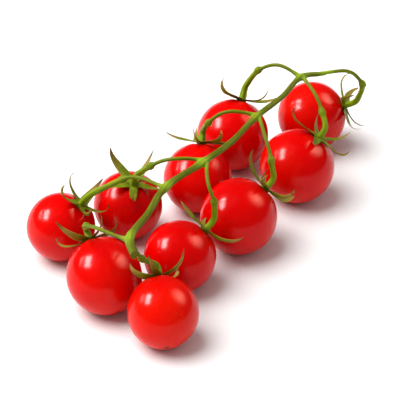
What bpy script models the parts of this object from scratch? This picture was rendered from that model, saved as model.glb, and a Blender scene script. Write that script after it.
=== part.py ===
"""A cut truss of cherry tomatoes, lying on a flat surface.

Ten ripe fruits rest on the surface in two loose rows. Each is joined to the shared main stem by its own
pedicel, which has a knuckle part of the way along, and wears a calyx of five curled sepals.
Lengths are in metres. +X runs along the main stem, from its cut end to its tip, and +Z is up.
The origin is under the middle of the truss, on the surface that it lies on.
"""

import math
import random
from collections import namedtuple

import bmesh
import bpy
import numpy as np
from mathutils import Vector

MM = 0.001
GAP = 0.3 * MM  # between pieces that grow together, so that their solids stay apart

# Fruit
FRUIT_SEGMENTS = 20
FRUIT_RINGS = 12
FLAT_DEPTH = 0.35 * MM  # how far the skin is pressed in where the fruit rests
HOLLOW_DEPTH = 0.6 * MM  # the shallow dimple under the calyx
HOLLOW_REACH = 0.2  # its width, as a share of the fruit's radius

# Calyx
SEPALS = 5
HUB_RADIUS = 2.2 * MM
HUB_HEIGHT = 1.3 * MM
SEPAL_STEPS = 6
SEPAL_WIDTH = 3 * MM
SEPAL_TIP_SHARE = 0.12  # the tip's width over the greatest width
SEPAL_THICKNESS = 0.7 * MM
SEPAL_THINNING = 0.6  # the share of its thickness that a sepal loses by its tip
SEPAL_LENGTHS = (12 * MM, 18 * MM)
SEPAL_LIFTS = (math.radians(5), math.radians(75))  # how far a sepal has curled up at its tip
SEPAL_DRIFTS = (math.radians(-22), math.radians(22))  # how far its tip has turned to one side

# Stems
SAMPLES = 20  # of a smooth curve, between two of the points that it goes through
STEM_STEP = 4.5 * MM
STEM_SIDES = 3  # bevel resolution: 10 sides
STEM_RADIUS_AT_CUT = 1.5 * MM
STEM_RADIUS_AT_TIP = 1.1 * MM
NODE_SWELLING = 0.4 * MM
NODE_REACH = 2.6 * MM
PEDICEL_STEP = 2.4 * MM
PEDICEL_SIDES = 2  # bevel resolution: 8 sides
PEDICEL_RADIUS_ABOVE = 0.8 * MM  # between the stem and the knuckle
PEDICEL_RADIUS_BELOW = 1.1 * MM  # between the knuckle and the calyx
PEDICEL_RADIUS_AT_CALYX = 1.4 * MM
ROOT_FLARE = 0.5 * MM
KNUCKLE_SWELLING = 0.5 * MM
KNUCKLE_REACH = 1.6 * MM
STRAIGHT_AT_CALYX = 4 * MM  # the pedicel's last stretch follows the fruit's own axis

# The main stem's route in millimetres. Pedicels grow from the named points.
STEM_ROUTE = (
    ("cut", (-77.5, -16.5, 44)),
    ("first", (-71, -10, 46)),
    ("", (-55, -8, 47.5)),
    ("second", (-36, -4, 48)),
    ("third", (-16, -7, 48.5)),
    ("", (5, -9.5, 49)),
    ("fourth", (26, -8, 49)),
    ("", (47, -9, 49)),
    ("fifth", (67, -6, 47)),
    ("tip", (78, -12, 45)),
)

# place: where the fruit lies. axis: from its middle to its stem end. tall: its length over its diameter.
# node: the point of the main stem that it hangs from. arch and knuckle: its pedicel's way there, after the
# stem. turn: the direction of its first sepal, in degrees. Lengths are in millimetres.
Fruit = namedtuple("Fruit", "place diameter tall axis node arch knuckle turn")
FRUIT_ROWS = (
    ((-70, -25), 29, 1.04, (0.65, 0.55, 0.52), "first", ((-69.5, -12, 38.5),), (-65, -12, 32.5), 0),
    ((-64, 8), 31, 1.05, (0.42, 0.7, 0.58), "first", ((-73, -2, 46), (-71.5, 7, 45)), (-67, 14, 40), 40),
    ((-44, 44), 29, 1, (0.3, -0.5, 0.81), "second", ((-35, 4, 47), (-34, 12, 46)), (-34, 19, 42), 50),
    ((-35, -10), 30.2, 1, (0.72, -0.35, 0.59), "third", ((-20, -13, 46), (-22, -17, 42)), (-21, -18, 36), 45),
    ((-16, 29), 29.2, 1.02, (-0.15, -0.3, 0.94), "third", ((-19, 1, 50.3), (-20.5, 7, 48.7)), (-22, 13, 44), 27),
    ((1, -16), 32.6, 1, (0.72, -0.35, 0.59), "fourth", ((21, -15.5, 46.5), (18, -20, 43)), (16, -22.5, 38), 45),
    ((17, 15), 29.6, 1.03, (0.54, 0.22, 0.81), "fourth", ((22, 0, 52), (20.3, 5.5, 50)), (19.5, 11, 43.5), 10),
    ((53, 20), 31.6, 1, (0.6, 0.1, 0.79), "fifth", ((66.5, 2, 50.5), (66, 8.5, 49)), (65, 15, 44), 0),
    ((47, -17), 32.4, 1, (0.42, -0.4, 0.81), "fifth", ((63, -14, 46), (60.5, -19, 43)), (59, -22, 38), 0),
    ((86, -1), 30.6, 1, (0.48, -0.8, 0.36), "tip", ((84, -17.5, 46), (88, -20.5, 43)), (91, -23.5, 36), 54),
)
FRUITS = [Fruit(*row) for row in FRUIT_ROWS]


def clear_scene():
    for obj in list(bpy.data.objects):
        bpy.data.objects.remove(obj, do_unlink=True)


def material(name, colour, roughness):
    """A Principled material without metal."""
    made = bpy.data.materials.new(name)
    made.use_nodes = True
    shader = made.node_tree.nodes["Principled BSDF"]
    shader.inputs["Base Color"].default_value = (*colour, 1.0)
    shader.inputs["Roughness"].default_value = roughness
    shader.inputs["Metallic"].default_value = 0.0
    return made


def add_object(name, data, finish, place=(0, 0, 0)):
    obj = bpy.data.objects.new(name, data)
    obj.location = place
    obj.parent = truss
    data.materials.append(finish)
    truss_collection.objects.link(obj)
    return obj


def smooth_route(points, step):
    """Points about a step apart on the smooth curve (a Catmull-Rom spline) through the given points."""
    through = [np.array(p) for p in points]
    through = [2 * through[0] - through[1], *through, 2 * through[-1] - through[-2]]
    fine = []
    for before, start, end, after in zip(through, through[1:], through[2:], through[3:]):
        for t in np.linspace(0, 1, SAMPLES, endpoint=False):
            fine.append(
                start
                + 0.5 * t * (end - before)
                + 0.5 * t**2 * (2 * before - 5 * start + 4 * end - after)
                + 0.5 * t**3 * (3 * start - before - 3 * end + after)
            )
    fine = np.array([*fine, through[-2]])
    along = np.concatenate([[0], np.cumsum(np.linalg.norm(np.diff(fine, axis=0), axis=1))])
    even = np.linspace(0, along[-1], round(along[-1] / step) + 1)
    return np.stack([np.interp(even, along, fine[:, axis]) for axis in range(3)], axis=1)


def distances(route):
    """How far along the route each of its points is."""
    return np.concatenate([[0], np.cumsum(np.linalg.norm(np.diff(route, axis=0), axis=1))])


def bump(away, reach):
    """A smooth swelling: 1 at its middle, and next to nothing at twice its reach."""
    return np.exp(-((away / reach) ** 2))


def tube(name, route, radii, resolution, finish):
    """A closed tube along the route, with a radius at each point."""
    curve = bpy.data.curves.new(name, "CURVE")
    curve.dimensions = "3D"
    curve.bevel_depth = MM
    curve.bevel_resolution = resolution
    curve.use_fill_caps = True
    spline = curve.splines.new("POLY")
    spline.points.add(len(route) - 1)
    for point, place, radius in zip(spline.points, route, radii):
        point.co = (*place, 1)
        point.radius = radius / curve.bevel_depth
    return add_object(name, curve, finish)


def stem_radius(along, total, nodes_along):
    taper = STEM_RADIUS_AT_CUT + (STEM_RADIUS_AT_TIP - STEM_RADIUS_AT_CUT) * along / total
    return taper + NODE_SWELLING * sum(bump(along - node, NODE_REACH) for node in nodes_along)


def add_main_stem(finish):
    """Makes the main stem, and returns where each of its nodes is, with its direction and radius there."""
    route = smooth_route([Vector(p) * MM for _, p in STEM_ROUTE], STEM_STEP)
    along = distances(route)
    named = {name: np.array(place) * MM for name, place in STEM_ROUTE if name}
    nearest = {name: int(np.linalg.norm(route - place, axis=1).argmin()) for name, place in named.items()}
    swollen = [along[i] for name, i in nearest.items() if name != "cut"]
    radii = stem_radius(along, along[-1], swollen)
    tube("main_stem", route, radii, STEM_SIDES, finish)
    ways = np.gradient(route, axis=0)
    return {name: (Vector(route[i]), Vector(ways[i]).normalized(), radii[i]) for name, i in nearest.items()}


def add_tomato(number, fruit, finish):
    """Makes one fruit, and returns its middle. It is turned so that its stem end faces along its axis."""
    radius = fruit.diameter / 2 * MM
    bm = bmesh.new()
    bmesh.ops.create_uvsphere(bm, u_segments=FRUIT_SEGMENTS, v_segments=FRUIT_RINGS, radius=radius)
    for vert in bm.verts:
        across = math.hypot(vert.co.x, vert.co.y) / radius
        vert.co.z *= fruit.tall
        if vert.co.z > 0:
            vert.co.z -= HOLLOW_DEPTH * bump(across, HOLLOW_REACH)
    turned = Vector(fruit.axis).to_track_quat("Z", "Y").to_matrix()
    bmesh.ops.rotate(bm, cent=(0, 0, 0), matrix=turned, verts=bm.verts)
    height = -min(vert.co.z for vert in bm.verts) - FLAT_DEPTH
    everything = bm.verts[:] + bm.edges[:] + bm.faces[:]
    surface = Vector((0, 0, -height))
    bmesh.ops.bisect_plane(bm, geom=everything, plane_co=surface, plane_no=(0, 0, -1), clear_outer=True)
    bmesh.ops.holes_fill(bm, edges=bm.edges[:])
    bmesh.ops.recalc_face_normals(bm, faces=bm.faces[:])
    mesh = bpy.data.meshes.new(f"tomato_{number:02d}")
    bm.to_mesh(mesh)
    bm.free()
    mesh.shade_smooth()
    middle = Vector((fruit.place[0] * MM, fruit.place[1] * MM, height))
    add_object(mesh.name, mesh, finish, middle)
    return middle


def sepal_sections(rng, turn, index):
    """A sepal's cross-sections in the calyx's frame: middle, sideways and upward directions, half sizes."""
    heading = math.radians(turn) + 2 * math.pi * index / SEPALS
    length = rng.uniform(*SEPAL_LENGTHS)
    lift = rng.uniform(*SEPAL_LIFTS)
    drift = rng.uniform(*SEPAL_DRIFTS)
    step = length / SEPAL_STEPS
    place = Vector((math.cos(heading), math.sin(heading), 0)) * HUB_RADIUS
    for i in range(1, SEPAL_STEPS + 1):
        t = i / SEPAL_STEPS
        rise = lift * t**1.5
        way = heading + drift * t
        outward = Vector((math.cos(way), math.sin(way), 0))
        place = place + (outward * math.cos(rise) + Vector((0, 0, math.sin(rise)))) * step
        upward = Vector((0, 0, math.cos(rise))) - outward * math.sin(rise)
        sideways = Vector((-math.sin(way), math.cos(way), 0))
        outline = math.sin(math.pi * (0.3 + 0.7 * t))  # broad at the hub, widest soon after, 0 at the tip
        width = SEPAL_WIDTH * (SEPAL_TIP_SHARE + (1 - SEPAL_TIP_SHARE) * outline)
        thickness = SEPAL_THICKNESS * (1 - SEPAL_THINNING * t)
        yield place, sideways, upward, width / 2, thickness / 2


def add_calyx(number, fruit, middle, finish):
    """Makes the calyx, and returns where its pedicel ends: the middle of the top of its hub."""
    rng = random.Random(number)
    bm = bmesh.new()
    bmesh.ops.create_cone(
        bm, cap_ends=True, segments=2 * SEPALS, radius1=HUB_RADIUS, radius2=0.8 * HUB_RADIUS, depth=HUB_HEIGHT
    )
    sides = [face for face in bm.faces if len(face.verts) == 4]
    for index in range(SEPALS):
        sections = list(sepal_sections(rng, fruit.turn, index))
        towards = sections[0][0].xy.normalized()
        face = max(sides, key=lambda side: side.calc_center_median().xy.normalized().dot(towards))
        sides.remove(face)
        centre = face.calc_center_median()
        sideways = Vector((-towards.y, towards.x, 0))
        upward = Vector((0, 0, 1))
        for place, next_sideways, next_upward, half_width, half_thickness in sections:
            face = bmesh.ops.extrude_discrete_faces(bm, faces=[face])["faces"][0]
            for vert in face.verts:
                right = math.copysign(1, (vert.co - centre).dot(sideways))
                above = math.copysign(1, (vert.co - centre).dot(upward))
                vert.co = place + next_sideways * right * half_width + next_upward * above * half_thickness
            centre, sideways, upward = place, next_sideways, next_upward
    mesh = bpy.data.meshes.new(f"calyx_{number:02d}")
    bm.to_mesh(mesh)
    bm.free()
    axis = Vector(fruit.axis).normalized()
    seat = fruit.diameter / 2 * MM * fruit.tall - HOLLOW_DEPTH + GAP
    obj = add_object(mesh.name, mesh, finish, middle + axis * (seat + HUB_HEIGHT / 2))
    obj.rotation_euler = axis.to_track_quat("Z", "Y").to_euler()
    return middle + axis * (seat + HUB_HEIGHT + GAP)


def add_pedicel(number, fruit, node, end, finish):
    """Makes the stalk from the main stem's surface, over its arch and knuckle, down to the calyx."""
    node_place, stem_way, stem_width = node
    waypoints = [Vector(p) * MM for p in (*fruit.arch, fruit.knuckle)]
    if fruit.node == "tip":
        way_out = stem_way
        start = node_place + way_out * GAP
    else:
        way_out = waypoints[0] - node_place
        way_out = (way_out - way_out.project(stem_way)).normalized()
        start = node_place + way_out * (stem_width + GAP)
    axis = Vector(fruit.axis).normalized()
    after_start = start + way_out * PEDICEL_STEP
    before_end = end + axis * STRAIGHT_AT_CALYX
    route = smooth_route([start, after_start, *waypoints, before_end, end], PEDICEL_STEP)
    # The first and last stretches are straight, so that the tube's ends lie flat on what they join.
    route[1] = after_start
    route[-2] = end + axis * PEDICEL_STEP
    along = distances(route)
    at_knuckle = along[np.linalg.norm(route - np.array(waypoints[-1]), axis=1).argmin()]
    below = np.clip((along - at_knuckle) / (along[-1] - at_knuckle), 0, 1)
    radii = np.where(
        along < at_knuckle,
        PEDICEL_RADIUS_ABOVE,
        PEDICEL_RADIUS_BELOW + (PEDICEL_RADIUS_AT_CALYX - PEDICEL_RADIUS_BELOW) * below,
    )
    radii = radii + KNUCKLE_SWELLING * bump(along - at_knuckle, KNUCKLE_REACH)
    radii = radii + ROOT_FLARE * bump(along, KNUCKLE_REACH)
    tube(f"pedicel_{number:02d}", route, radii, PEDICEL_SIDES, finish)


def stand_on_origin():
    """Moves the truss so that the origin is under the middle of its bounding box."""
    bpy.context.view_layer.update()
    places = []
    for obj in truss.children:
        places += [obj.matrix_world @ vert.co for vert in obj.to_mesh().vertices]
        obj.to_mesh_clear()
    for axis in (0, 1):
        reach = [place[axis] for place in places]
        truss.location[axis] -= (min(reach) + max(reach)) / 2


clear_scene()
truss_collection = bpy.data.collections.new("cherry_tomato_truss")
bpy.context.scene.collection.children.link(truss_collection)
truss = bpy.data.objects.new("truss", None)
truss_collection.objects.link(truss)

skin = material("ripe_skin", (0.72, 0.01, 0.005), 0.22)
stem_green = material("stem_green", (0.12, 0.16, 0.03), 0.55)
pedicel_green = material("pedicel_green", (0.18, 0.24, 0.04), 0.55)
sepal_green = material("sepal_green", (0.14, 0.22, 0.03), 0.6)

nodes = add_main_stem(stem_green)
for number, fruit in enumerate(FRUITS, start=1):
    middle = add_tomato(number, fruit, skin)
    calyx_top = add_calyx(number, fruit, middle, sepal_green)
    add_pedicel(number, fruit, nodes[fruit.node], calyx_top, pedicel_green)
stand_on_origin()
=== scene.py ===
# %% [markdown]
# # A truss of cherry tomatoes
#
# A truss is one fruiting branch of a tomato plant. Here it is cut and laid on a white table: ten ripe
# fruits, each on its own arching stalk, hang from one zigzag main stem. We build everything that shows,
# the skins, the green stem and the papery calyxes, round a plain model that already has the right sizes.
# That plain model is the frame. Loading it comes first, because every place below is measured from it.

# %% Load the frame
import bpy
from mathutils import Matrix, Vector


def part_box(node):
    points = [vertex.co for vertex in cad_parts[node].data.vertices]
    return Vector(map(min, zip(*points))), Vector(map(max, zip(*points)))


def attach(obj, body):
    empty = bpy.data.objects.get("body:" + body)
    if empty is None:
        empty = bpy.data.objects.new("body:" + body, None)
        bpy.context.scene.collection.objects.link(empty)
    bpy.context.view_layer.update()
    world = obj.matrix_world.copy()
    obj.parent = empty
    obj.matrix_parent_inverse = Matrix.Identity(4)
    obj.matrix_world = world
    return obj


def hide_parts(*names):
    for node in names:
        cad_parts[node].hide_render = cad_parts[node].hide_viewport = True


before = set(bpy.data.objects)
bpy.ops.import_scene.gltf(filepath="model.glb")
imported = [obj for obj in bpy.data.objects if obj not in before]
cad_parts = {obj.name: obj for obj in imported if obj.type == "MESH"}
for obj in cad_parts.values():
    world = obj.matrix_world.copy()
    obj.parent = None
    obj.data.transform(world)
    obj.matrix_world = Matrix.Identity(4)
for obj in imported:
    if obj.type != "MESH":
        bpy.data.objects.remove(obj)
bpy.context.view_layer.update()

# %% Tools that the lesson uses
import math
import random
from collections import namedtuple

import bmesh
import bpy
import numpy as np
from mathutils import Matrix, Quaternion, Vector, noise
from mathutils.kdtree import KDTree

MM = 0.001
FRUITS = range(1, 11)

# %% [markdown]
# ## Reading the frame's shapes
#
# The frame's tubes are rings of points, one ring after the other. If we start at a tube's end and walk to
# the neighbours, and then to their neighbours, each step takes us to the next ring. The middle of each ring
# lies on the tube's middle line, and the distance to its points is the radius. We could type the routes in
# by hand instead, but measured ones can't disagree with the frame.

# %% Walk along a piece, ring by ring
def merged(node):
    """The places of a frame piece's corners, with doubles merged, and the neighbours of each."""
    bm = bmesh.new()
    bm.from_mesh(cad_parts[node].data)
    bmesh.ops.remove_doubles(bm, verts=bm.verts, dist=0.01 * MM)
    bm.verts.index_update()
    places = np.array([vert.co[:] for vert in bm.verts])
    beside = [[edge.other_vert(vert).index for edge in vert.link_edges] for vert in bm.verts]
    bm.free()
    return places, beside


def rings_from(start, beside, walked=()):
    """Walks away from the start points, one ring of neighbours at a time."""
    rings, seen = [sorted(start)], set(start) | set(walked)
    while rings[-1]:
        ring = sorted({other for point in rings[-1] for other in beside[point]} - seen)
        rings.append(ring)
        seen |= set(ring)
    return rings[:-1]


def tube_line(node, near, sides):
    """A tube's middle line and radii, from its end at the given place."""
    places, beside = merged(node)
    end = np.linalg.norm(places - np.array(near), axis=1).argsort()[:sides]
    rings = [places[ring] for ring in rings_from(end.tolist(), beside)]
    line = np.array([ring.mean(axis=0) for ring in rings])
    radii = [np.linalg.norm(ring - middle, axis=1).mean() for ring, middle in zip(rings, line)]
    return line, np.array(radii)


def unit(vector):
    return np.array(vector) / np.linalg.norm(vector)


# %% Measure the fruits and their stalks
FLAT_DEPTH = 0.35 * MM  # how far a skin is pressed in where it rests on the table
STALK_SIDES, STEM_SIDES = 8, 10  # of the frame's tubes
Fruit = namedtuple("Fruit", "number middle axis radius tall stalk stalk_radii")


def measure_fruit(number):
    """A fruit's middle, the way its stem end faces, its size, and its stalk from the fruit to the stem."""
    low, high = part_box(f"tomato_{number:02d}")
    middle = np.array((low + high) / 2)
    middle[2] = (high.z - FLAT_DEPTH) / 2
    stalk, radii = tube_line(f"pedicel_{number:02d}", middle, STALK_SIDES)
    axis = unit(stalk[0] - middle)
    away = merged(f"tomato_{number:02d}")[0] - middle
    along = away @ axis
    radius = np.linalg.norm(away - along[:, None] * axis, axis=1).max()
    return Fruit(number, middle, axis, radius, -along.min() / radius, stalk, radii)


fruits = [measure_fruit(number) for number in FRUITS]
cut_corner = min((vert.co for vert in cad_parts["main_stem"].data.vertices), key=lambda place: place.x)
stem_line, stem_radii = tube_line("main_stem", cut_corner, STEM_SIDES)
for fruit in fruits:
    print(f"tomato {fruit.number}: {2000 * fruit.radius:.1f} mm across, {len(fruit.stalk)} rings of stalk")
print("main stem:", len(stem_line), "rings")

# %% [markdown]
# ## The camera
#
# A long lens from over a metre away keeps the fruits round, as in a picture taken for a shop. The camera
# looks down at the table at a slant, along the truss from its cut end. We work out the lens from the
# truss's own spread, seen from there, so that it fills most of the picture.

# %% Set up the camera
AZIMUTH, ELEVATION = math.radians(-57), math.radians(35)
DISTANCE = 1.1
FILL = 0.86  # the share of the picture that the truss takes up
SENSOR = 36
NEAREST = 0.05  # nothing closer to the camera than this is shown

camera_back = Vector(
    (
        math.sin(AZIMUTH) * math.cos(ELEVATION),
        -math.cos(AZIMUTH) * math.cos(ELEVATION),
        math.sin(ELEVATION),
    )
)
camera_right = Vector((math.cos(AZIMUTH), math.sin(AZIMUTH), 0))
camera_up = camera_back.cross(camera_right)


def seen_from_camera(right, up, back):
    """A direction given along the camera's own axes."""
    return (camera_right * right + camera_up * up + camera_back * back).normalized()


corners = np.concatenate([merged(node)[0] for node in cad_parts])
axes = camera_right, camera_up, camera_back
spread = [corners @ np.array(axis) for axis in axes]
target = sum((axis * ((reach.min() + reach.max()) / 2) for axis, reach in zip(axes, spread)), Vector())
width = max(np.ptp(spread[0]), np.ptp(spread[1])) / FILL

camera = bpy.data.cameras.new("camera")
camera.sensor_width = SENSOR
camera.lens = camera.sensor_width * DISTANCE / width
camera.clip_start = NEAREST
camera_object = bpy.data.objects.new("camera", camera)
camera_object.location = target + camera_back * DISTANCE
camera_object.rotation_euler = camera_back.to_track_quat("Z", "Y").to_euler()
bpy.context.scene.collection.objects.link(camera_object)
bpy.context.scene.camera = camera_object
print(f"the picture is {1000 * width:.0f} mm wide at the truss, with a {camera.lens:.0f} mm lens")

# %% [markdown]
# ## Shader maths in Python
#
# A finish is a network of nodes. Drawn by hand it is easy to read, but in a script each small sum takes
# several lines. So we wrap a socket in a small class whose operators add the nodes: `1 - mask` becomes a
# Math node set to subtract. Colours and vectors have nodes of their own, because a Math node would turn
# a colour grey. Everything else comes from the one method `node`.

# %% The Signal class
class Signal:
    """What leaves a socket. Sums and products of signals add the Math nodes that work them out."""

    def __init__(self, socket):
        self.socket = socket

    @classmethod
    def node(cls, tree, kind, settings, inputs, output=0):
        """Adds a node: its settings first, then the values or links of its sockets. Gives one output."""
        made = tree.nodes.new(kind)
        for name, value in settings.items():
            setattr(made, name, value)
        for name, value in inputs.items():
            if isinstance(value, Signal):
                tree.links.new(value.socket, made.inputs[name])
            else:
                made.inputs[name].default_value = value
        return cls(made.outputs[output])

    def maths(self, operation, first, second, clamp=False):
        settings = {"operation": operation, "use_clamp": clamp}
        return Signal.node(self.socket.id_data, "ShaderNodeMath", settings, {0: first, 1: second})

    def __add__(self, other):
        return self.maths("ADD", self, other)

    def __radd__(self, other):
        return self.maths("ADD", other, self)

    def __sub__(self, other):
        return self.maths("SUBTRACT", self, other)

    def __rsub__(self, other):
        return self.maths("SUBTRACT", other, self)

    def __mul__(self, other):
        return self.maths("MULTIPLY", self, other)

    def __rmul__(self, other):
        return self.maths("MULTIPLY", other, self)

    def between(self, low, high):
        """0 below low, 1 above high, and a straight ramp between them."""
        return self.maths("MULTIPLY", self - low, 1 / (high - low), clamp=True)


SCREEN_GAMMA = 2.2


def rgb(red, green, blue):
    """A colour that is given as on a screen, from 0 to 255, as the shader wants it."""
    return tuple((part / 255) ** SCREEN_GAMMA for part in (red, green, blue)) + (1,)


# %% What every finish starts from
MIX_FACTOR, MIX_FIRST, MIX_SECOND, MIX_RESULT = 0, 6, 7, 2  # the places of a Mix node's colour sockets


class Finish:
    """A material under construction. Its shader is a Principled BSDF."""

    def __init__(self, name, **same_all_over):
        self.material = bpy.data.materials.new(name)
        self.material.use_nodes = True
        self.tree = self.material.node_tree
        self.shader = self.tree.nodes["Principled BSDF"]
        for socket, value in same_all_over.items():
            self.shader.inputs[socket.replace("_", " ")].default_value = value

    def node(self, kind, settings, inputs, output=0):
        return Signal.node(self.tree, kind, settings, inputs, output)

    def attribute(self, name, output="Fac"):
        """A value that we stored on the mesh's points."""
        return self.node("ShaderNodeAttribute", {"attribute_name": name}, {}, output)

    def noise(self, vector, scale, detail=2.0, roughness=0.5):
        inputs = {"Vector": vector, "Scale": scale, "Detail": detail, "Roughness": roughness}
        return self.node("ShaderNodeTexNoise", {}, inputs, "Fac")

    def mix(self, factor, first, second):
        """The first colour where the factor is 0, and the second where it is 1."""
        inputs = {MIX_FACTOR: factor, MIX_FIRST: first, MIX_SECOND: second}
        return self.node("ShaderNodeMix", {"data_type": "RGBA"}, inputs, MIX_RESULT)

    def wear(self, socket, signal):
        """Feeds a signal to one of the shader's sockets."""
        self.tree.links.new(signal.socket, self.shader.inputs[socket])

    def bump(self, height, depth, strength):
        """Turns a height into a bumpy surface. depth is in metres, for a height of 1."""
        bumped = self.node("ShaderNodeBump", {}, {"Height": height, "Distance": depth, "Strength": strength})
        self.wear("Normal", bumped)


def own_place(finish):
    """A point's place on the object, in metres, for patterns to follow."""
    return finish.node("ShaderNodeTexCoord", {}, {}, "Object")


# %% [markdown]
# ## Ripe skin
#
# The skin of a ripe tomato is thin, tight and waxy over wet flesh. Light goes in a little way and comes
# back red, so the shader gets some subsurface scattering, and its shine is clear. The red is not even:
# it is a little more orange towards the blossom end and in soft clouds, faint paler lines run from pole
# to pole, tiny corky dots are scattered over it, and round the calyx a narrow rim stays yellowish. An even
# red would look like plastic. We could paint all this on an image, but patterns need no unwrapping.

# %% The skin's finish
RIPE_RED, RIPE_ORANGE = rgb(206, 3, 0), rgb(226, 38, 2)
PALE_LINE, DARK_FLESH = rgb(232, 58, 14), rgb(146, 0, 0)
CORK_DOT, CALYX_RIM, SCAR_CORK = rgb(246, 120, 70), rgb(178, 120, 30), rgb(96, 52, 22)
CLOUDS, FLESH, DOTS, LINES = 70, 420, 620, 9  # how fine each pattern of the skin is


def ripe_skin():
    finish = Finish(
        "ripe_skin",
        Subsurface_Weight=0.12,
        Subsurface_Radius=(3.0, 0.35, 0.15),
        Subsurface_Scale=1 * MM,
        Specular_IOR_Level=0.25,
    )
    place = own_place(finish)
    poles = finish.attribute("pole_to_pole")  # 0 at the blossom end, 1 at the stem end
    ripeness = finish.attribute("ripeness")  # one value for each fruit
    meridian = finish.attribute("meridian", "Vector")  # a direction round the fruit's own axis
    clouds = finish.noise(place, CLOUDS, 3)
    lines = finish.noise(meridian, LINES, 3, 0.6)
    flesh = finish.noise(place, FLESH)

    orange = ((1 - poles) * 0.55 + clouds * 0.75 - ripeness * 0.55).between(0.25, 1.15)
    colour = finish.mix(orange, RIPE_RED, RIPE_ORANGE)
    pale_lines = lines.between(0.55, 0.8) * poles.between(0.15, 0.6) * 0.2
    colour = finish.mix(pale_lines, colour, PALE_LINE)
    colour = finish.mix(flesh.between(0.5, 0.75) * 0.14, colour, DARK_FLESH)

    cells = {"Vector": place, "Scale": DOTS, "Randomness": 1.0}
    dots = finish.node("ShaderNodeTexVoronoi", {"feature": "F1"}, cells, "Distance")
    speckle = (1 - dots.between(0.05, 0.16)) * clouds.between(0.42, 0.6)
    colour = finish.mix(speckle * 0.22, colour, CORK_DOT)

    rim = poles.between(0.984, 0.9965)
    colour = finish.mix(rim * 0.75, colour, CALYX_RIM)
    scar = 1 - poles.between(0.0006, 0.0016)
    colour = finish.mix(scar, colour, SCAR_CORK)
    finish.wear("Base Color", colour)
    finish.wear("Roughness", clouds * 0.07 + flesh * 0.05 + 0.13)
    finish.bump(flesh + clouds * 0.5 - speckle * 0.4, 0.05 * MM, 0.35)
    return finish.material


skin_material = ripe_skin()
print("skin finish:", len(skin_material.node_tree.nodes), "nodes")

# %% [markdown]
# ## One fruit
#
# A cherry tomato is nearly a ball, but a bare ball looks like a bead. The real one is a touch longer than
# wide, sinks in where the calyx sits, has five faint shoulders there, ends in a tiny corky scar at the
# other pole, and lies on a small flat spot. We start from rings of latitude, close together at the poles
# where the detail is, and move each point by a formula. Sculpting would also do, but a formula can be
# repeated ten times with small changes.

# %% Shape a fruit
FRUIT_AROUND = 96
FRUIT_RINGS = 72
HOLLOW_DEPTH = 0.75 * MM
HOLLOW_REACH = 0.22
SHOULDERS = 5
SHOULDER_HEIGHT = 0.16 * MM
SHOULDER_PLACE, SHOULDER_REACH = 0.42, 0.28
LUMP_HEIGHT = 0.16 * MM
LUMP_FINENESS = 1.3
LUMP_SHIFT = 7.3  # from one fruit to the next, so that no two have the same lumps
SCAR_DEPTH = 0.22 * MM
SCAR_REACH = 0.035
CROWDING = 0.065  # how much closer the rings are at the poles


def soft_peak(away, reach):
    """1 where away is 0, falling smoothly to next to nothing at twice the reach."""
    return np.exp(-((away / reach) ** 2))


def fruit_point(fruit, polar, around, phase):
    """A point of the skin in the fruit's own axes. polar is 0 at the stem end and pi at the blossom end."""
    way = Vector((math.sin(polar) * math.cos(around), math.sin(polar) * math.sin(around), math.cos(polar)))
    lump = noise.noise(way * LUMP_FINENESS + Vector((LUMP_SHIFT * fruit.number, 0, 0))) * LUMP_HEIGHT
    shoulder = SHOULDER_HEIGHT * math.cos(SHOULDERS * around + phase)
    shoulder *= soft_peak(polar - SHOULDER_PLACE, SHOULDER_REACH)
    point = way * (fruit.radius + lump + shoulder)
    point.z *= fruit.tall
    point.z -= HOLLOW_DEPTH * soft_peak(polar, HOLLOW_REACH)
    point.z += SCAR_DEPTH * soft_peak(math.pi - polar, SCAR_REACH)
    return point


def latitudes():
    """Angles from pole to pole, closer together near both poles."""
    for ring in range(1, FRUIT_RINGS):
        share = ring / FRUIT_RINGS
        yield math.pi * (share - CROWDING * math.sin(4 * math.pi * share))


def turned_to(axis):
    """The turn that brings +Z to a fruit's axis, as a 3 by 3 matrix."""
    return Vector(axis).to_track_quat("Z", "Y").to_matrix()


# %% [markdown]
# The mesh also carries notes for the shader on its points: how far a point is from the blossom end, which
# way it lies round the axis, and how ripe its fruit is. They travel with the mesh, so the patterns turn
# with each fruit.

# %% Build the ten fruits
def new_piece(name, verts, faces, materials):
    """A smooth object with a mesh of its own, in the scene."""
    mesh = bpy.data.meshes.new(name)
    mesh.from_pydata([tuple(vert) for vert in verts], [], faces)
    for material in materials:
        mesh.materials.append(material)
    mesh.shade_smooth()
    piece = bpy.data.objects.new(name, mesh)
    bpy.context.scene.collection.objects.link(piece)
    return piece


def note(mesh, name, values, kind="FLOAT"):
    """Stores one value, or one vector, for each point of the mesh."""
    field = "vector" if kind == "FLOAT_VECTOR" else "value"
    mesh.attributes.new(name, kind, "POINT").data.foreach_set(field, np.ravel(values).astype(np.float32))


def loft(rings):
    """Points and faces of a closed skin over rings of points. Its last two points close the two ends."""
    count = len(rings[0])
    verts = [point for ring in rings for point in ring]
    faces = []
    for row in range(len(rings) - 1):
        for i in range(count):
            j = (i + 1) % count
            faces.append((row * count + i, row * count + j, (row + 1) * count + j, (row + 1) * count + i))
    for row, order in ((0, -1), (len(rings) - 1, 1)):
        verts.append(sum((Vector(point) for point in rings[row]), Vector()) / count)
        middle = len(verts) - 1
        for i in range(count):
            corners = (row * count + i, row * count + (i + 1) % count, middle)
            faces.append(corners[::order])
    return verts, faces


FRUIT_SEED = 100
LINE_STRETCH = 0.12  # the skin's lines change this much from pole to pole, against 1 round the fruit


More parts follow.
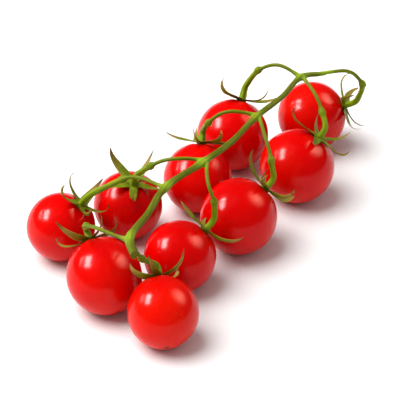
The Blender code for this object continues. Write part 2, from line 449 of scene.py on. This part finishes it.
def build_fruit(fruit):
    rng = random.Random(FRUIT_SEED + fruit.number)
    phase = rng.uniform(0, 2 * math.pi)
    turns = np.linspace(0, 2 * math.pi, FRUIT_AROUND, endpoint=False)
    rings = [[fruit_point(fruit, polar, turn, phase) for turn in turns] for polar in latitudes()]
    verts, faces = loft(rings)
    verts[-2] = fruit_point(fruit, 0, 0, phase)
    verts[-1] = fruit_point(fruit, math.pi, 0, phase)
    own = np.array([vert[:] for vert in verts])
    ways = own / np.linalg.norm(own, axis=1)[:, None]
    turn = turned_to(fruit.axis)
    for vert in verts:
        vert.rotate(turn)
        vert += Vector(fruit.middle)
        vert.z = max(vert.z, 0)
    piece = new_piece(f"ripe_tomato_{fruit.number:02d}", verts, faces, [skin_material])
    note(piece.data, "pole_to_pole", (1 + ways[:, 2]) / 2)
    note(piece.data, "ripeness", np.full(len(verts), rng.uniform(0, 1)))
    stretched = np.stack([ways[:, 0], ways[:, 1], LINE_STRETCH * ways[:, 2] + fruit.number], axis=1)
    note(piece.data, "meridian", stretched, "FLOAT_VECTOR")
    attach(piece, "root")
    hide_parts(f"tomato_{fruit.number:02d}")
    return piece


fruit_pieces = [build_fruit(fruit) for fruit in fruits]
print("fruits:", len(fruit_pieces), "of", len(fruit_pieces[0].data.polygons), "faces each")

# %% [markdown]
# ## The green skin of stem and stalks
#
# The main stem is a dull olive green with brownish stretches where it has begun to dry. It is brighter at
# its nodes, and the stalks are a fresher, yellower green below their knuckles, where they are young. Long
# fine streaks follow the fibres, and short pale down gives the edges a soft bloom, which is what a shader's
# sheen is for. The notes on the mesh say where a point is, and the finish mixes its colours from them.

# %% The green finish
DOWN = rgb(225, 235, 190)  # the colour of the fine hairs on everything green
GREEN_SCATTER = (1.2, 1.6, 0.4)
OLD_GREEN, FRESH_GREEN, NODE_GREEN = rgb(90, 100, 8), rgb(122, 142, 14), rgb(146, 178, 44)
DRIED_BROWN, HAIR_DOT = rgb(118, 88, 16), rgb(154, 166, 44)
PALE_FIBRE, DARK_FIBRE = rgb(146, 160, 26), rgb(50, 66, 12)
FIBRES, STEM_PATCHES, HAIRS = 1500, 95, 1400  # how fine each pattern of the stem is


def green_skin():
    finish = Finish(
        "green_stem_skin",
        Specular_IOR_Level=0.22,
        Sheen_Weight=0.05,
        Sheen_Roughness=0.4,
        Sheen_Tint=DOWN,
        Subsurface_Weight=0.08,
        Subsurface_Radius=GREEN_SCATTER,
        Subsurface_Scale=0.6 * MM,
    )
    place = own_place(finish)
    youth = finish.attribute("youth")  # 0 on the old main stem, 1 on the freshest stretch of a stalk
    joint = finish.attribute("joint")  # 1 where a stalk leaves the stem
    fibres = finish.attribute("fibres", "Vector")  # a place that is squeezed along the stem
    streaks = finish.noise(fibres, FIBRES, 3, 0.6)
    patches = finish.noise(place, STEM_PATCHES, 3, 0.6)
    fine = finish.noise(place, HAIRS)

    colour = finish.mix(youth, OLD_GREEN, FRESH_GREEN)
    colour = finish.mix(joint * 0.85, colour, NODE_GREEN)
    dried = patches.between(0.5, 0.72) * (1 - youth * 0.75) * (1 - joint * 0.6)
    colour = finish.mix(dried * 0.65, colour, DRIED_BROWN)
    colour = finish.mix(streaks.between(0.5, 0.75) * 0.3, colour, PALE_FIBRE)
    colour = finish.mix((1 - streaks.between(0.25, 0.45)) * 0.6, colour, DARK_FIBRE)
    colour = finish.mix(fine.between(0.58, 0.75) * 0.25, colour, HAIR_DOT)
    finish.wear("Base Color", colour)
    finish.wear("Roughness", streaks * 0.15 + patches * 0.1 + 0.42)
    finish.bump(streaks + fine * 0.3, 0.12 * MM, 0.7)
    return finish.material


PITH_PALE, PITH_GREEN, PITH_RIM = rgb(214, 216, 158), rgb(172, 176, 96), rgb(112, 118, 52)
PITH_GRAIN = 2600


def cut_pith():
    """The pale wet wood of the cut end, with darker fibres towards its rim."""
    finish = Finish("cut_pith", Specular_IOR_Level=0.4)
    place = own_place(finish)
    grain = finish.noise(place, PITH_GRAIN, 3, 0.7)
    rim = finish.attribute("cut_rim")
    colour = finish.mix(grain.between(0.35, 0.7), PITH_PALE, PITH_GREEN)
    colour = finish.mix(rim.between(0.6, 1.0) * 0.8, colour, PITH_RIM)
    finish.wear("Base Color", colour)
    finish.wear("Roughness", grain * 0.2 + 0.45)
    finish.bump(grain, 0.15 * MM, 0.8)
    return finish.material


green_material = green_skin()
pith_material = cut_pith()
print("green finish:", len(green_material.node_tree.nodes), "nodes")

# %% [markdown]
# ## Smooth routes
#
# The measured middle lines have a point every few millimetres. A Catmull-Rom curve goes through all of
# them without corners, so we read finer points from it. The radius goes along as a fourth number.

# %% Points along a smooth curve
SAMPLES = 24


def smooth_route(points, step):
    """Points about a step apart on the smooth curve through the given ones, radii and all."""
    points = np.array(points)
    through = [2 * points[0] - points[1], *points, 2 * points[-1] - points[-2]]
    fine = []
    for before, start, end, after in zip(through, through[1:], through[2:], through[3:]):
        for t in np.linspace(0, 1, SAMPLES, endpoint=False):
            fine.append(
                start
                + 0.5 * t * (end - before)
                + 0.5 * t**2 * (2 * before - 5 * start + 4 * end - after)
                + 0.5 * t**3 * (3 * start - before - 3 * end + after)
            )
    fine = np.array([*fine, points[-1]])
    along = distances(fine)
    even = np.linspace(0, along[-1], round(along[-1] / step) + 1)
    return np.stack([np.interp(even, along, column) for column in fine.T], axis=1)


def distances(route):
    """How far along the route each of its points is."""
    return np.concatenate([[0], np.cumsum(np.linalg.norm(np.diff(route[:, :3], axis=0), axis=1))])


def carried_frames(route):
    """A sideways direction at each point, carried along the route so that it never twists suddenly."""
    ways = np.gradient(route[:, :3], axis=0)
    ways /= np.linalg.norm(ways, axis=1)[:, None]
    side = Vector(ways[0]).orthogonal().normalized()
    frames = []
    for way in ways:
        way = Vector(way)
        side = (side - side.project(way)).normalized()
        frames.append((way, side.copy(), way.cross(side)))
    return frames


# %% [markdown]
# ## The stem and its stalks
#
# On the plant, a stalk doesn't stick to the stem like a pipe on a pipe. It leaves at a slant, and the two
# flow into each other with a small web in the fork. Part of the way down it has a knuckle: a swollen joint
# with a groove, where a ripe fruit breaks off. We make each stretch as a ribbed tube that starts inside
# the stem, and then melt all the tubes into one skin with the Remesh modifier. Joining tubes by hand would
# take many faces and look stiffer.

# %% Routes from inside the stem to each fruit
ROUTE_STEP = 0.45 * MM
ROOT_RUN = 4 * MM  # how far back along the stem a slanting stalk's root begins
ROOT_SHARE = 0.8  # its radius there over the stem's
RELAXING = 4  # rounds of smoothing above the knuckle, which takes out small kinks
INTO_CALYX = 1.1 * MM  # how far a stalk's end reaches into its calyx
KNUCKLE_RIM, RIM_REACH = 0.14 * MM, 0.9 * MM
KNUCKLE_GROOVE, GROOVE_REACH = 0.2 * MM, 0.35 * MM
CUT_SPARE = 2.5 * MM  # extra length of stem, which the cut takes off again


def relaxed(points, rounds):
    """The same points, each drawn towards its neighbours, apart from the first and the last."""
    points = points.copy()
    for _ in range(rounds):
        points[1:-1] = (points[:-2] + 2 * points[1:-1] + points[2:]) / 4
    return points


stem_route = smooth_route(np.column_stack([stem_line, stem_radii]), ROUTE_STEP)
stem_along = distances(stem_route)
stem_start = stem_route[0].copy()
stem_way = unit(stem_route[3, :3] - stem_route[0, :3])


def stalk_route(fruit):
    """The stalk's points and radii from inside the stem to inside the calyx, and where its knuckle is."""
    stalk = np.column_stack([fruit.stalk, fruit.stalk_radii])[::-1]
    node = np.linalg.norm(stem_route[:, :3] - stalk[0, :3], axis=1).argmin()
    stem_heading = np.gradient(stem_route[:, :3], axis=0)[node] / ROUTE_STEP
    lean = unit(stalk[3, :3] - stem_route[node, :3]) @ stem_heading
    root = stem_route[np.searchsorted(stem_along[:-1], stem_along[node] - lean * ROOT_RUN)].copy()
    root[3] *= ROOT_SHARE
    end = stalk[-1].copy()
    end[:3] -= fruit.axis * INTO_CALYX
    bulge = stalk[1:-1, 3] - (stalk[:-2, 3] + stalk[2:, 3]) / 2  # how far a ring stands out of its neighbours
    at = 3 + bulge[2:-2].argmax()
    knuckle = stalk[at, :3].copy()
    line = np.array([root, *stalk[2:], end])
    line[: at, :3] = relaxed(line[: at, :3], RELAXING)
    line[at - 1 :, :3] = relaxed(line[at - 1 :, :3], 1)
    route = smooth_route(line, ROUTE_STEP)
    along = distances(route)
    at_knuckle = along[np.linalg.norm(route[:, :3] - knuckle, axis=1).argmin()]
    away = along - at_knuckle
    route[:, 3] += KNUCKLE_RIM * soft_peak(away, RIM_REACH) - KNUCKLE_GROOVE * soft_peak(away, GROOVE_REACH)
    return route, at_knuckle, stem_route[node, :3]


stalk_routes = [stalk_route(fruit) for fruit in fruits]
for fruit, (route, at_knuckle, _) in zip(fruits, stalk_routes):
    long = distances(route)[-1]
    print(f"stalk {fruit.number}: {1000 * long:.0f} mm, knuckle at {1000 * at_knuckle:.0f} mm")

# %% Ribbed tubes
TUBE_SIDES = 28
STEM_RIBS, STEM_RIB = 6, 0.085
STALK_RIBS, STALK_RIB = 5, 0.06
RIB_TWIST = 60  # radians of turn for each metre of stem
BUMPS, BUMP_FINENESS = 0.05, 200  # small uneven swellings, as a share of the radius
KEPT_POINTS = 6  # one in so many of the stem's fine points is enough to draw it again
TIP_TAPER = 0.5  # the share of its radius that the stem loses at its tip, where the last stalk takes over
TIP_REACH = 3.5 * MM


def ribbed_tube(route, ribs, rib, phase):
    """Points and faces of a tube round a route. rib is the height of its ribs as a share of the radius."""
    along = distances(route)
    rings = []
    for (_, side, above), point, distance in zip(carried_frames(route), route, along):
        ring = []
        for turn in np.linspace(0, 2 * math.pi, TUBE_SIDES, endpoint=False):
            radius = point[3] * (1 + rib * math.cos(ribs * (turn + RIB_TWIST * distance) + phase))
            radius *= 1 + BUMPS * noise.noise(Vector(point[:3]) * BUMP_FINENESS + Vector((phase, turn, 0)))
            ring.append(Vector(point[:3]) + (side * math.cos(turn) + above * math.sin(turn)) * radius)
        rings.append(ring)
    return loft(rings)


long_start = stem_start.copy()
long_start[:3] -= stem_way * CUT_SPARE
whole_stem = smooth_route([long_start, *stem_route[::KEPT_POINTS], stem_route[-1]], ROUTE_STEP)
from_tip = distances(whole_stem)[::-1]
whole_stem[:, 3] *= 1 - TIP_TAPER * soft_peak(from_tip, TIP_REACH)
tubes = [ribbed_tube(whole_stem, STEM_RIBS, STEM_RIB, 0)]
tubes += [ribbed_tube(route, STALK_RIBS, STALK_RIB, i) for i, (route, _, _) in enumerate(stalk_routes, 1)]
verts, faces = [], []
for tube_verts, tube_faces in tubes:
    faces += [tuple(corner + len(verts) for corner in face) for face in tube_faces]
    verts += tube_verts
print("tubes:", len(tubes), "with", len(faces), "faces before they are melted together")

# %% Melt the tubes into one skin and cut the end
VOXEL = 0.26 * MM
CUT_TILT = 0.45  # how slanted the cut is: sideways for each unit along the stem
RELAX_SHARE, RELAX_ROUNDS = 0.5, 4

rough = new_piece("rough_stems", verts, faces, [green_material])
melt = rough.modifiers.new("melt", "REMESH")
melt.mode = "VOXEL"
melt.voxel_size = VOXEL
melt.use_smooth_shade = True
relax = rough.modifiers.new("relax", "SMOOTH")
relax.factor = RELAX_SHARE
relax.iterations = RELAX_ROUNDS
melted = bpy.data.meshes.new_from_object(rough.evaluated_get(bpy.context.evaluated_depsgraph_get()))
bpy.data.objects.remove(rough)

cut_normal = (Vector(-stem_way) + Vector((0, 0, CUT_TILT))).normalized()
bm = bmesh.new()
bm.from_mesh(melted)
everything = bm.verts[:] + bm.edges[:] + bm.faces[:]
cut = bmesh.ops.bisect_plane(
    bm, geom=everything, plane_co=Vector(stem_start[:3]), plane_no=cut_normal, clear_outer=True
)
rim_edges = [part for part in cut["geom_cut"] if isinstance(part, bmesh.types.BMEdge)]
closing = bmesh.ops.triangle_fill(bm, edges=rim_edges, use_beauty=True)
pith_faces = [part for part in closing["geom"] if isinstance(part, bmesh.types.BMFace)]
for face in pith_faces:
    face.material_index = 1
    face.smooth = False
bmesh.ops.recalc_face_normals(bm, faces=bm.faces[:])
bm.to_mesh(melted)
bm.free()
melted.materials.clear()
melted.materials.append(green_material)
melted.materials.append(pith_material)
vine = bpy.data.objects.new("stem_and_stalks", melted)
bpy.context.scene.collection.objects.link(vine)
print("stem and stalks:", len(melted.polygons), "faces,", len(pith_faces), "on the cut")

# %% [markdown]
# Melting forgets which tube a point came from. So we look up the nearest place on the middle lines again,
# and note for each point how fresh the green is, how near a node it is, and where it lies along the fibres.

# %% Note on the stem where each point is
FRESH_ABOVE_KNUCKLE = 0.35
NODE_GLOW = 3.5 * MM
FIBRE_SQUEEZE = 0.07  # fibres are this much finer across than along
ROOT_FADE = 9 * MM  # how far from the stem a stalk has turned as fresh as it gets above its knuckle
KNUCKLE_FADE = 2 * MM  # how far on both sides of the knuckle the young green fades in

samples = []  # place, way along the line, distance along, youth
for way, point, distance in zip(carried_frames(stem_route), stem_route, stem_along):
    samples.append((point, way, distance, 0))
for number, (route, at_knuckle, _) in enumerate(stalk_routes, 1):
    for way, point, distance in zip(carried_frames(route), route, distances(route)):
        root = min(distance / ROOT_FADE, 1) * FRESH_ABOVE_KNUCKLE
        below = min(max((distance - at_knuckle + KNUCKLE_FADE) / (2 * KNUCKLE_FADE), 0), 1)
        samples.append((point, way, distance + number, root + (1 - FRESH_ABOVE_KNUCKLE) * below))
tree = KDTree(len(samples))
for i, (point, *_) in enumerate(samples):
    tree.insert(point[:3], i)
tree.balance()
nodes_on_stem = np.array([node for _, _, node in stalk_routes])

youth, joint, fibres = [], [], []
for vert in melted.vertices:
    point, (way, side, above), distance, fresh = samples[tree.find(vert.co)[1]]
    away = vert.co - Vector(point[:3])
    nearest = np.linalg.norm(nodes_on_stem - np.array(vert.co), axis=1).min()
    youth.append(fresh)
    joint.append(soft_peak(nearest, NODE_GLOW))
    fibres.append(((distance + away.dot(way)) * FIBRE_SQUEEZE, away.dot(side), away.dot(above)))
note(melted, "youth", youth)
note(melted, "joint", joint)
note(melted, "fibres", fibres, "FLOAT_VECTOR")
cut_rim = [min((vert.co - Vector(stem_start[:3])).length / stem_start[3], 1) for vert in melted.vertices]
note(melted, "cut_rim", cut_rim)
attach(vine, "root")
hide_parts("main_stem", *(f"pedicel_{number:02d}" for number in FRUITS))
print("noted", len(youth), "points from", len(samples), "places on the middle lines")

# %% [markdown]
# ## Calyx skin
#
# The calyx is the green star on top of the fruit. Its five sepals are soft and green near the hub, and by
# the time the fruit is ripe their ends have dried to straw and dark brown, so the finish follows the
# distance from hub to tip. Fine veins run along each sepal.

# %% The sepals' finish
LEAF_DARK, LEAF_LIGHT = rgb(92, 106, 10), rgb(126, 138, 20)
VEIN_PALE, VEIN_DARK = rgb(152, 160, 50), rgb(48, 66, 12)
STRAW, DEAD_BROWN = rgb(150, 122, 66), rgb(84, 56, 30)
VEINS, LEAF_PATCHES = 1500, 320  # how fine each pattern of the sepals is


def sepal_skin():
    finish = Finish(
        "sepal_skin",
        Specular_IOR_Level=0.2,
        Sheen_Weight=0.05,
        Sheen_Roughness=0.4,
        Sheen_Tint=DOWN,
        Subsurface_Weight=0.1,
        Subsurface_Radius=GREEN_SCATTER,
        Subsurface_Scale=0.5 * MM,
    )
    place = own_place(finish)
    tip = finish.attribute("hub_to_tip")
    dryness = finish.attribute("dryness")  # one value for each sepal
    veins = finish.noise(finish.attribute("veins", "Vector"), VEINS, 3, 0.6)
    patches = finish.noise(place, LEAF_PATCHES, 3, 0.6)
    colour = finish.mix(patches.between(0.35, 0.7), LEAF_DARK, LEAF_LIGHT)
    colour = finish.mix(veins.between(0.5, 0.75) * 0.4, colour, VEIN_PALE)
    colour = finish.mix((1 - veins.between(0.25, 0.45)) * 0.5, colour, VEIN_DARK)
    dried = (tip + dryness * 0.3 + patches * 0.35).between(0.74, 1.12)
    colour = finish.mix(dried * 0.85, colour, STRAW)
    dead = (tip + dryness * 0.25 + patches * 0.2).between(1.08, 1.25)
    colour = finish.mix(dead * 0.85, colour, DEAD_BROWN)
    finish.wear("Base Color", colour)
    finish.wear("Roughness", patches * 0.15 + 0.48)
    finish.bump(veins + patches * 0.5, 0.1 * MM, 0.7)
    return finish.material


sepal_material = sepal_skin()
print("sepal finish:", len(sepal_material.node_tree.nodes), "nodes")

# %% [markdown]
# ## Sepals
#
# A sepal is a narrow leaf, widest a third of the way along, with a groove down its middle and edges that
# roll up as it dries. Its last stretch often curls into a hook. The frame has each sepal as a chain of
# plain sections, so we read the chain, add the curl, and stretch a thin grooved section along it. Flat
# cards would save faces, but from the side they vanish.

# %% Read each sepal's middle line
HUB_REACH = 3.2 * MM  # the hub's corners are nearer than this to the stalk's end
Calyx = namedtuple("Calyx", "fruit top sepals")


def measure_calyx(fruit):
    """The top of a calyx's hub, and each sepal's line from the hub's edge to the tip."""
    places, beside = merged(f"calyx_{fruit.number:02d}")
    top = fruit.stalk[0]
    hub = np.flatnonzero(np.linalg.norm(places - top, axis=1) < HUB_REACH).tolist()
    first_sections = set(rings_from(hub, beside)[1])
    sepals = []
    while first_sections:
        section = {min(first_sections)}
        for _ in range(2):
            section |= {other for point in section for other in beside[point]} & first_sections
        first_sections -= section
        root = [point for point in hub if set(beside[point]) & section]
        rings = [root, *rings_from(section, beside, hub)]
        sepals.append(np.array([places[ring].mean(axis=0) for ring in rings]))
    return Calyx(fruit, top, sepals)


calyxes = [measure_calyx(fruit) for fruit in fruits]
print("sepals on each calyx:", [len(calyx.sepals) for calyx in calyxes])

# %% Shape a sepal
SEPAL_STEPS = 26
SEPAL_AROUND = 12
SEPAL_WIDTH = (3.3 * MM, 4.3 * MM)
BLADE = 0.3 * MM  # its thickness near the hub
THINNING = 1.4  # the blade would be down to nothing at this many sepal lengths from the hub
HOOKS = (-0.3, 1.5)  # how far the tip curls up further, in radians
HOOK_START, HOOK_GROWTH = 0.5, 1.6  # where along the sepal the hook begins, and how suddenly it tightens
ROLLS = (0.1, 0.5)  # how far the edges roll up
TWISTS = (0.3, 1.1)  # how far the tip turns about the sepal's own line, in radians
MIDRIB, MIDRIB_REACH = 0.6, 0.3  # the keel under the blade, in thicknesses and in half widths
GROOVE, GROOVE_WIDTH = 0.25, 0.25  # the channel on top of it
VEIN_RUN = 0.012  # how much pattern there is from root to tip
ROOT_INSIDE = 1.5 * MM  # how far a sepal's root reaches into the hub
TIP_WIDTH = 0.08
WIDE_ROOT = 0.32  # how far into a half wave's swell the outline starts, so that the root isn't a point


def sepal_width(t):
    """The outline from root to tip, as a share of the greatest width."""
    swell = math.sin(math.pi * (WIDE_ROOT + (1 - WIDE_ROOT) * t)) ** 0.9
    return TIP_WIDTH + (1 - TIP_WIDTH) * swell * (1 - 0.25 * t)


def curled(line, axis, hook):
    """The sepal's line with its last stretch curled up further, about its sideways direction."""
    route = smooth_route(line, np.linalg.norm(np.diff(line, axis=0), axis=1).sum() / SEPAL_STEPS)
    steps = np.diff(route, axis=0)
    places = [Vector(route[0])]
    for i, step in enumerate(steps):
        t = (i + 1) / len(steps)
        sideways = Vector(axis).cross(Vector(step)).normalized()
        bend = hook * (max(t - HOOK_START, 0) / (1 - HOOK_START)) ** HOOK_GROWTH
        places.append(places[-1] + Matrix.Rotation(-bend, 3, sideways) @ Vector(step))
    return places


def build_sepal(line, axis, rng):
    """Points, faces and notes for one sepal."""
    width = rng.uniform(*SEPAL_WIDTH)
    hook = rng.uniform(*HOOKS)
    roll = rng.uniform(*ROLLS)
    twist = rng.choice((-1, 1)) * rng.uniform(*TWISTS)
    dryness = rng.uniform(0, 1)
    inward = unit(line[1] - line[0]) * ROOT_INSIDE
    places = curled(np.array([line[0] - inward, *line]), axis, hook)
    rings, tips, veins = [], [], []
    for i, place in enumerate(places):
        t = i / (len(places) - 1)
        before, after = places[max(i - 1, 0)], places[min(i + 1, len(places) - 1)]
        way = (after - before).normalized()
        sideways = Vector(axis).cross(way).normalized()
        above = way.cross(sideways)
        lean = Matrix.Rotation(twist * t, 3, way)
        sideways, above = lean @ sideways, lean @ above
        half = width / 2 * sepal_width(t)
        thick = BLADE * (1 - t / THINNING)
        ring = []
        for turn in np.linspace(0, 2 * math.pi, SEPAL_AROUND, endpoint=False):
            x, y = math.cos(turn), math.sin(turn)
            ridge = -MIDRIB * soft_peak(x, MIDRIB_REACH) if y < 0 else -GROOVE * soft_peak(x, GROOVE_WIDTH)
            lift = roll * (0.4 + 0.6 * t) * x * x * half
            ring.append(place + sideways * (x * half) + above * (thick * (y / 2 + ridge) + lift))
            veins.append((t * VEIN_RUN, x * half, y * thick * 0.3))
        rings.append(ring)
        tips += [t] * SEPAL_AROUND
    verts, faces = loft(rings)
    return verts, faces, tips + [0, 1], veins + [(0, 0, 0), (VEIN_RUN, 0, 0)], [dryness] * len(verts)


# %% Shape the hub
HUB_RADIUS = 2.2 * MM
HUB_PROFILE = ((0.55, -1.0), (0.95, -0.75), (1.0, -0.1), (0.86, 0.35), (0.66, 0.62), (0.6, 1.0), (0.58, 1.3))
HUB_UNIT = 0.8 * MM
HUB_AROUND = 40
HUB_SINK = 1.1 * MM  # how far the hub's middle lies below the stalk's end
SEPALS, LOBE = 5, 0.09
HUB_DRYNESS = 0.1


def build_hub(calyx, phase):
    """A low dome with a lobe for each sepal, which narrows to a collar round the stalk."""
    turn = turned_to(calyx.fruit.axis)
    base = Vector(calyx.top) - Vector(calyx.fruit.axis) * HUB_SINK
    rings = []
    for share, height in HUB_PROFILE:
        lobes = LOBE * soft_peak(height + 0.1, 0.6)
        ring = []
        for angle in np.linspace(0, 2 * math.pi, HUB_AROUND, endpoint=False):
            radius = HUB_RADIUS * share * (1 + lobes * math.cos(SEPALS * (angle - phase)))
            spot = Vector((radius * math.cos(angle), radius * math.sin(angle), height * HUB_UNIT))
            ring.append(base + turn @ spot)
        rings.append(ring)
    verts, faces = loft(rings)
    veins = [((vert - base).dot(Vector(calyx.fruit.axis)) * 0.1, vert.x, vert.y) for vert in verts]
    return verts, faces, [0.0] * len(verts), veins, [HUB_DRYNESS] * len(verts)


# %% [markdown]
# Each calyx is one object: its hub and its five sepals, whose roots run into the hub. Their lengths, curls
# and colours differ, from a random generator with a fixed seed, so that every run gives the same truss.

# %% Build the ten calyxes
def build_calyx(calyx):
    rng = random.Random(calyx.fruit.number)
    first = turned_to(calyx.fruit.axis).inverted() @ Vector(calyx.sepals[0][0] - calyx.top)
    parts = [build_hub(calyx, math.atan2(first.y, first.x))]
    parts += [build_sepal(line, calyx.fruit.axis, rng) for line in calyx.sepals]
    verts, faces, tips, veins, dryness = [], [], [], [], []
    for part in parts:
        faces += [tuple(corner + len(verts) for corner in face) for face in part[1]]
        verts += part[0]
        tips += part[2]
        veins += part[3]
        dryness += part[4]
    piece = new_piece(f"green_calyx_{calyx.fruit.number:02d}", verts, faces, [sepal_material])
    note(piece.data, "hub_to_tip", tips)
    note(piece.data, "veins", veins, "FLOAT_VECTOR")
    note(piece.data, "dryness", dryness)
    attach(piece, "root")
    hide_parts(f"calyx_{calyx.fruit.number:02d}")
    return piece


calyx_pieces = [build_calyx(calyx) for calyx in calyxes]
print("calyxes:", len(calyx_pieces), "of", len(calyx_pieces[0].data.polygons), "faces each")

# %% [markdown]
# ## Table and light
#
# The truss lies on a plain white table. Broad, soft daylight from the upper left lights everything and
# makes the shadows, and a white room fills them in. The other three lamps show only as reflections: a tall
# window with a narrow pane beside it gives each fruit its clear highlight, and a wide, faint, warm one on
# the right gives it a soft glow. Lamps that did both jobs would be simpler, but then a lamp wide enough for
# soft shadows would cover half of each fruit with its reflection. The room, too, is dimmer in reflections
# than it is as light, so that the skins keep their deep red.

# %% The table
TABLE_HALF = 3.0
TABLE_DROP = 0.05 * MM  # a hair below the fruits, so that the surfaces don't coincide
TABLE_WHITE = (0.78, 0.78, 0.78, 1)
table_corners = [(x * TABLE_HALF, y * TABLE_HALF, 0) for x, y in ((-1, -1), (1, -1), (1, 1), (-1, 1))]
table_finish = Finish("table_white", Base_Color=TABLE_WHITE, Roughness=0.6, Specular_IOR_Level=0.2)
table = new_piece("white_table", table_corners, [(0, 1, 2, 3)], [table_finish.material])
table.location.z = -TABLE_DROP
print("table:", 2 * TABLE_HALF, "m wide")


# %% The lights
def lamp(name, kind, direction, distance, energy, roll=0.0):
    """A lamp that shines at the truss from a direction, turned by roll about its own beam."""
    light = bpy.data.lights.new(name, kind)
    light.energy = energy
    holder = bpy.data.objects.new(name, light)
    holder.location = target + direction * distance
    aim = direction.to_track_quat("Z", "Y") @ Quaternion((0, 0, 1), roll)
    holder.rotation_euler = aim.to_euler()
    bpy.context.scene.collection.objects.link(holder)
    return light, holder


def reflected_box(name, direction, distance, size, energy, roll=0.0):
    """A rectangular lamp that shows as a reflection but lights nothing."""
    light, holder = lamp(name, "AREA", direction, distance, energy, roll)
    light.shape = "RECTANGLE"
    light.size, light.size_y = size
    holder.visible_diffuse = False
    return light


DAYLIGHT_WAY, DAYLIGHT_DISTANCE, DAYLIGHT_ENERGY = seen_from_camera(-0.5, 0.74, 0.45), 2, 3.7
DAYLIGHT_SOFTNESS = math.radians(56)
WINDOW_WAY, WINDOW_SIZE, WINDOW_ENERGY = seen_from_camera(-0.7, 0.57, 0.43), (0.28, 0.54), 12
PANE_WAY, PANE_SIZE, PANE_ENERGY = seen_from_camera(-0.87, 0.48, 0.1), (0.1, 0.36), 1.3
WINDOW_DISTANCE, WINDOW_ROLL = 1.0, math.radians(65)
FILL_WAY, FILL_SIZE, FILL_ENERGY = seen_from_camera(0.68, 0.7, 0.2), (1.3, 1.3), 3.6
FILL_DISTANCE, FILL_SPREAD, FILL_WARMTH = 1.3, math.radians(50), (1.0, 0.78, 0.58)

daylight, daylight_holder = lamp("daylight", "SUN", DAYLIGHT_WAY, DAYLIGHT_DISTANCE, DAYLIGHT_ENERGY)
daylight.angle = DAYLIGHT_SOFTNESS
daylight_holder.visible_glossy = False
reflected_box("window", WINDOW_WAY, WINDOW_DISTANCE, WINDOW_SIZE, WINDOW_ENERGY, WINDOW_ROLL)
reflected_box("window_side", PANE_WAY, WINDOW_DISTANCE, PANE_SIZE, PANE_ENERGY, WINDOW_ROLL)
fill = reflected_box("fill", FILL_WAY, FILL_DISTANCE, FILL_SIZE, FILL_ENERGY)
fill.spread = FILL_SPREAD
fill.color = FILL_WARMTH
print("lights:", [item.name for item in bpy.context.scene.objects if item.type == "LIGHT"])

# %% The white room
ROOM_LIGHT, ROOM_IN_REFLECTIONS, ROOM_SEEN = 0.42, 0.12, 1.0
room = bpy.data.worlds.new("white_room")
room.use_nodes = True
bpy.context.scene.world = room
glossy = Signal.node(room.node_tree, "ShaderNodeLightPath", {}, {}, "Is Glossy Ray")
camera_ray = Signal.node(room.node_tree, "ShaderNodeLightPath", {}, {}, "Is Camera Ray")
strength = ROOM_LIGHT + glossy * (ROOM_IN_REFLECTIONS - ROOM_LIGHT) + camera_ray * (ROOM_SEEN - ROOM_LIGHT)
background = room.node_tree.nodes["Background"]
background.inputs["Color"].default_value = (1, 1, 1, 1)
room.node_tree.links.new(strength.socket, background.inputs["Strength"])
bpy.context.scene.view_settings.view_transform = "Standard"
bpy.context.scene.view_settings.look = "Medium High Contrast"
print("room:", len(room.node_tree.nodes), "nodes")
